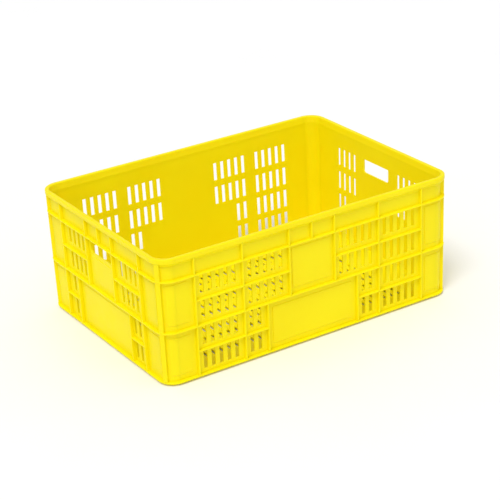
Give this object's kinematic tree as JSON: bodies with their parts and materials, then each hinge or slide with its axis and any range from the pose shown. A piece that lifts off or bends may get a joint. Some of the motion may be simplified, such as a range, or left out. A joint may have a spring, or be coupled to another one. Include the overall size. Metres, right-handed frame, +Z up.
{
  "type": "stacking crate",
  "caption": "Vented stacking crate with slotted walls, outer ribs and belts, flat rim, hand holes in both ends and a foot that drops into the rim below.",
  "frame": {"origin": "centre of the bottom, on the ground", "axes": "+X along the length, +Y along the width, +Z up"},
  "size_m": [0.6, 0.424, 0.232],
  "materials": {
    "yellow_hdpe": "satin moulded HDPE"
  },
  "bodies": {
    "root": {"back_rails": "yellow_hdpe", "back_ribs": "yellow_hdpe", "back_wall": "yellow_hdpe", "corner_post_back_left": "yellow_hdpe", "corner_post_back_right": "yellow_hdpe", "corner_post_front_left": "yellow_hdpe", "corner_post_front_right": "yellow_hdpe", "floor_grid": "yellow_hdpe", "floor_plate": "yellow_hdpe", "foot_back": "yellow_hdpe", "foot_corner_back_left": "yellow_hdpe", "foot_corner_back_right": "yellow_hdpe", "foot_corner_front_left": "yellow_hdpe", "foot_corner_front_right": "yellow_hdpe", "foot_front": "yellow_hdpe", "foot_left": "yellow_hdpe", "foot_right": "yellow_hdpe", "front_rails": "yellow_hdpe", "front_ribs": "yellow_hdpe", "front_wall": "yellow_hdpe", "left_rails": "yellow_hdpe", "left_ribs": "yellow_hdpe", "left_wall": "yellow_hdpe", "middle_belt_back": "yellow_hdpe", "middle_belt_front": "yellow_hdpe", "middle_belt_left": "yellow_hdpe", "middle_belt_right": "yellow_hdpe", "right_rails": "yellow_hdpe", "right_ribs": "yellow_hdpe", "right_wall": "yellow_hdpe", "rim_back": "yellow_hdpe", "rim_corner_back_left": "yellow_hdpe", "rim_corner_back_right": "yellow_hdpe", "rim_corner_front_left": "yellow_hdpe", "rim_corner_front_right": "yellow_hdpe", "rim_front": "yellow_hdpe", "rim_left": "yellow_hdpe", "rim_right": "yellow_hdpe", "upper_belt_back": "yellow_hdpe", "upper_belt_front": "yellow_hdpe", "upper_belt_left": "yellow_hdpe", "upper_belt_right": "yellow_hdpe"}
  },
  "joints": []
}
